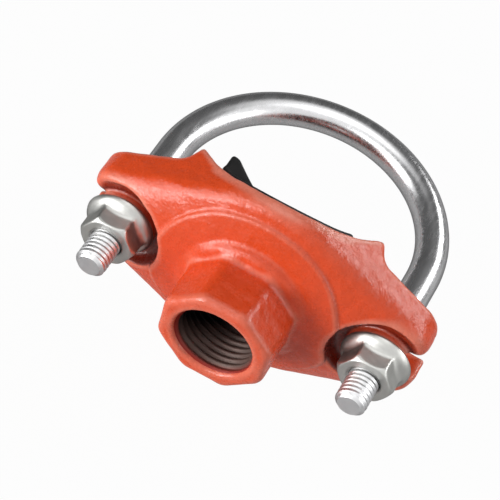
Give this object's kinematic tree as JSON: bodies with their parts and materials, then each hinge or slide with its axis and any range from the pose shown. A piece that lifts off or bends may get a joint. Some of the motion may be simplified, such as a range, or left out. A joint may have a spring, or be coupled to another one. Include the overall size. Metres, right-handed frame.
{
  "type": "saddle outlet fitting",
  "caption": "Cast saddle with an eight-sided threaded outlet boss, held to a run pipe by a U-bolt with flange nuts over a curved rubber gasket.",
  "frame": {"origin": "where the outlet's axis crosses the run pipe's axis", "axes": "+Z along the run pipe's axis, -Y out of the threaded outlet, +Y toward the U-bolt's crown, X from leg to leg of the U-bolt"},
  "size_m": [0.0886, 0.0842, 0.0576],
  "materials": {
    "cast_paint": "orange-red enamel over ductile iron",
    "gasket_rubber": "matte black",
    "zinc_bar": "bright zinc plate",
    "zinc_nut_left": "bright zinc plate",
    "zinc_nut_right": "bright zinc plate"
  },
  "bodies": {
    "saddle": {"saddle_housing": "cast_paint", "gasket": "gasket_rubber"},
    "left_flange_nut": {"left_nut": "zinc_nut_left"},
    "right_flange_nut": {"right_nut": "zinc_nut_right"},
    "bolt": {"u_bolt": "zinc_bar"}
  },
  "joints": [
    {"name": "u_bolt_slide", "type": "slide", "parent": "saddle", "child": "bolt", "axis": [0, 1, 0], "range_m": [-0.00625, 0.00813]},
    {"name": "left_nut_turn", "type": "hinge", "parent": "saddle", "child": "left_flange_nut", "pos_m": [-0.03435, -0.035, 0], "axis": [0, -1, 0], "range_deg": [-1800.5, 2340.5]},
    {"name": "right_nut_turn", "type": "hinge", "parent": "saddle", "child": "right_flange_nut", "pos_m": [0.03435, -0.035, 0], "axis": [0, -1, 0], "range_deg": [-1800.5, 2340.5]}
  ],
  "couplings": [
    {"joint": "left_nut_turn", "follows": "u_bolt_slide", "rad_per_m": 5026.5},
    {"joint": "right_nut_turn", "follows": "u_bolt_slide", "rad_per_m": 5026.5}
  ]
}
